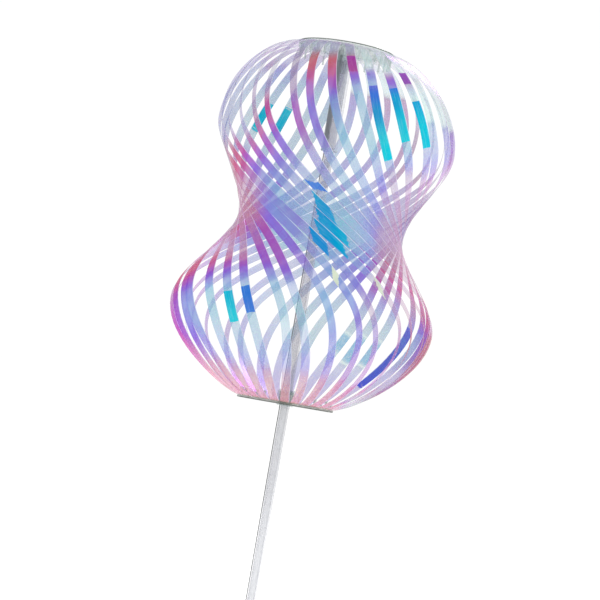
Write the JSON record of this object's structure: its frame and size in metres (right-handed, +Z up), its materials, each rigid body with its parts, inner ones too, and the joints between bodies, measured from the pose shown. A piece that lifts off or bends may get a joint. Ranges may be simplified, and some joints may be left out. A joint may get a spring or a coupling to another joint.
{
  "type": "pinwheel",
  "caption": "Ribbon pinwheel: iridescent film ribbons run from an upper to a lower round clamp and swell above and below a twisted waist, and the cage spins on a clear stick.",
  "frame": {"origin": "on the stick's axis, at the lower end of the foot cap's straight part", "axes": "+Z up along the stick towards the upper clamp, -Y towards the viewer of the front, +X to the viewer's right"},
  "size_m": [0.1486, 0.1492, 0.3946],
  "materials": {
    "stick_plastic": "clear, slightly cloudy, glossy",
    "cap_plastic": "moulded, satin",
    "clear_disc": "clear moulded plate, glossy",
    "sleeve_plastic": "clear tube, glossy",
    "green_plastic": "clear with a faint green tint, glossy",
    "ribbon_film": "thin see-through film that changes colour with the angle: blue, cyan, violet, magenta and orange"
  },
  "bodies": {
    "stick": {"stick_tube": "stick_plastic", "foot_cap": "cap_plastic", "tip_plug": "cap_plastic"},
    "head": {"top_cover_disc": "clear_disc", "top_clamp_plate": "clear_disc", "upper_pegs": "clear_disc", "sleeve_tube": "sleeve_plastic", "ribbon_01": "ribbon_film", "ribbon_02": "ribbon_film", "ribbon_03": "ribbon_film", "ribbon_04": "ribbon_film", "ribbon_05": "ribbon_film", "ribbon_06": "ribbon_film", "ribbon_07": "ribbon_film", "ribbon_08": "ribbon_film", "ribbon_09": "ribbon_film", "ribbon_10": "ribbon_film", "ribbon_11": "ribbon_film", "ribbon_12": "ribbon_film", "ribbon_13": "ribbon_film", "ribbon_14": "ribbon_film", "ribbon_15": "ribbon_film", "ribbon_16": "ribbon_film", "ribbon_17": "ribbon_film", "ribbon_18": "ribbon_film", "ribbon_19": "ribbon_film", "ribbon_20": "ribbon_film", "ribbon_21": "ribbon_film", "ribbon_22": "ribbon_film", "ribbon_23": "ribbon_film", "ribbon_24": "ribbon_film", "ribbon_25": "ribbon_film", "ribbon_26": "ribbon_film", "ribbon_27": "ribbon_film", "ribbon_28": "ribbon_film", "ribbon_29": "ribbon_film", "ribbon_30": "ribbon_film", "ribbon_31": "ribbon_film", "ribbon_32": "ribbon_film"},
    "collar": {"collar_bush": "green_plastic"},
    "lower_clamp": {"lower_clamp_plate": "green_plastic", "lower_pegs": "green_plastic", "lower_cover_disc": "green_plastic"}
  },
  "joints": [
    {"name": "cage_spin", "type": "hinge", "parent": "stick", "child": "head", "pos_m": [0, 0, 0.392], "axis": [0, 0, 1], "continuous": true},
    {"name": "lower_clamp_slide", "type": "slide", "parent": "head", "child": "collar", "axis": [0, 0, 1], "range_m": [-0.05, 0.05], "stiffness_N_per_m": 6, "springref_m": 0.012, "deforming": ["ribbon_01", "ribbon_02", "ribbon_03", "ribbon_04", "ribbon_05", "ribbon_06", "ribbon_07", "ribbon_08", "ribbon_09", "ribbon_10", "ribbon_11", "ribbon_12", "ribbon_13", "ribbon_14", "ribbon_15", "ribbon_16", "ribbon_17", "ribbon_18", "ribbon_19", "ribbon_20", "ribbon_21", "ribbon_22", "ribbon_23", "ribbon_24", "ribbon_25", "ribbon_26", "ribbon_27", "ribbon_28", "ribbon_29", "ribbon_30", "ribbon_31", "ribbon_32"]},
    {"name": "lower_clamp_twist", "type": "hinge", "parent": "collar", "child": "lower_clamp", "pos_m": [0, 0, 0.19], "axis": [0, 0, 1], "range_deg": [-90, 60]}
  ]
}
